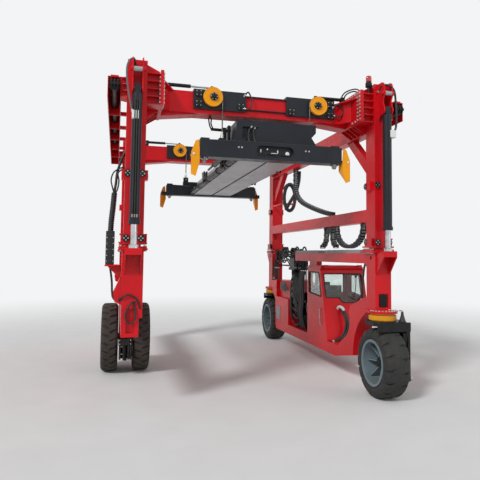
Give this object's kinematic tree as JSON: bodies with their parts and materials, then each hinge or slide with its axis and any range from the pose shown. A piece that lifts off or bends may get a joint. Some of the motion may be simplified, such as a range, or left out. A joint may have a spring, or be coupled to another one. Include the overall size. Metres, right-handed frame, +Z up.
{
  "type": "straddle carrier",
  "caption": "Three-wheeled straddle carrier with a telescoping portal frame, side-shifting hoist carriages and a container spreader",
  "frame": {"origin": "on the ground, under the middle of the bounding box", "axes": "+X across the machine towards the cab side, +Y along its travel to the far end, +Z up"},
  "size_m": [5.524, 7.56, 5.483],
  "materials": {
    "red_paint": "gloss paint",
    "dark_paint": "satin paint",
    "black_paint": "satin paint",
    "yellow_paint": "gloss paint",
    "amber_paint": "gloss paint",
    "grey_paint": "satin paint",
    "bare_steel": "bright steel",
    "tyre": "tyre rubber",
    "plastic": "matt plastic",
    "glass": "clear glass"
  },
  "bodies": {
    "lower_frame": {"right_lower_beam": "red_paint", "left_lower_beam": "red_paint", "near_right_foot": "red_paint", "far_right_foot": "red_paint", "near_left_foot": "red_paint", "far_left_foot": "red_paint", "deck_beam": "red_paint", "inner_masts": "red_paint", "lift_rods": "bare_steel", "slewing_rings": "amber_paint", "cab_shell": "red_paint", "cab_windows": "glass", "cab_seat": "plastic", "engine": "black_paint", "cooling_pack": "black_paint", "fuel_tank": "red_paint", "pipework": "black_paint", "twin_axle": "black_paint", "cab_roof": "red_paint", "valve_bank": "dark_paint"},
    "upper_frame": {"outer_masts": "red_paint", "mast_pads": "black_paint", "side_frames": "red_paint", "near_crossbeam": "red_paint", "far_crossbeam": "red_paint", "middle_beams": "red_paint", "lift_barrels": "dark_paint", "shift_cylinders": "black_paint", "beacon": "red_paint", "energy_chain": "plastic", "beam_brackets": "red_paint", "hoist_cylinders": "black_paint"},
    "carriages": {"shift_carriages": "dark_paint", "hoist_sheaves": "yellow_paint", "hoist_ropes": "bare_steel"},
    "spreader": {"spreader_beams": "grey_paint", "end_bars": "dark_paint", "headblock": "dark_paint", "twistlocks": "bare_steel", "spreader_lugs": "black_paint"},
    "near_left_guide": {"near_left_guide": "yellow_paint"},
    "near_right_guide": {"near_right_guide": "yellow_paint"},
    "far_left_guide": {"far_left_guide": "yellow_paint"},
    "far_right_guide": {"far_right_guide": "yellow_paint"},
    "near_fork": {"near_fork": "black_paint"},
    "far_fork": {"far_fork": "black_paint"},
    "near_wheel": {"near_rim": "grey_paint", "near_tyre": "tyre"},
    "far_wheel": {"far_rim": "grey_paint", "far_tyre": "tyre"},
    "twin_wheels": {"twin_rims": "red_paint", "twin_tyres": "tyre"},
    "door": {"cab_door": "red_paint", "door_window": "glass"}
  },
  "joints": [
    {"name": "lift", "type": "slide", "parent": "lower_frame", "child": "upper_frame", "axis": [0, 0, 1], "range_m": [0, 1.4]},
    {"name": "side_shift", "type": "slide", "parent": "upper_frame", "child": "carriages", "axis": [1, 0, 0], "range_m": [-0.33, 0.03]},
    {"name": "hoist", "type": "slide", "parent": "carriages", "child": "spreader", "axis": [0, 0, 1], "range_m": [-1.6, 0.04], "deforming": ["hoist_ropes"]},
    {"name": "near_left_guide_turn", "type": "hinge", "parent": "spreader", "child": "near_left_guide", "pos_m": [-1.374, -3.1, 3.95], "axis": [0, 1, 0], "range_deg": [0, 120]},
    {"name": "near_right_guide_turn", "type": "hinge", "parent": "spreader", "child": "near_right_guide", "pos_m": [1.27, -3.1, 3.95], "axis": [0, -1, 0], "range_deg": [0, 120]},
    {"name": "far_left_guide_turn", "type": "hinge", "parent": "spreader", "child": "far_left_guide", "pos_m": [-1.374, 2.98, 3.95], "axis": [0, 1, 0], "range_deg": [0, 120]},
    {"name": "far_right_guide_turn", "type": "hinge", "parent": "spreader", "child": "far_right_guide", "pos_m": [1.27, 2.98, 3.95], "axis": [0, -1, 0], "range_deg": [0, 120]},
    {"name": "near_steer", "type": "hinge", "parent": "lower_frame", "child": "near_fork", "pos_m": [1.868, -3.205, 1.3], "axis": [0, 0, 1], "range_deg": [-90, 90]},
    {"name": "far_steer", "type": "hinge", "parent": "lower_frame", "child": "far_fork", "pos_m": [1.868, 3.205, 1.3], "axis": [0, 0, 1], "range_deg": [-90, 90]},
    {"name": "near_wheel_spin", "type": "hinge", "parent": "near_fork", "child": "near_wheel", "pos_m": [1.868, -3.205, 0.575], "axis": [1, 0, 0], "continuous": true},
    {"name": "far_wheel_spin", "type": "hinge", "parent": "far_fork", "child": "far_wheel", "pos_m": [1.868, 3.205, 0.575], "axis": [1, 0, 0], "continuous": true},
    {"name": "twin_wheel_spin", "type": "hinge", "parent": "lower_frame", "child": "twin_wheels", "pos_m": [-2.292, -0.1, 0.675], "axis": [1, 0, 0], "continuous": true},
    {"name": "door_hinge", "type": "hinge", "parent": "lower_frame", "child": "door", "pos_m": [2.744, -0.034, 1.3], "axis": [0, 0, 1], "range_deg": [0, 95]}
  ]
}
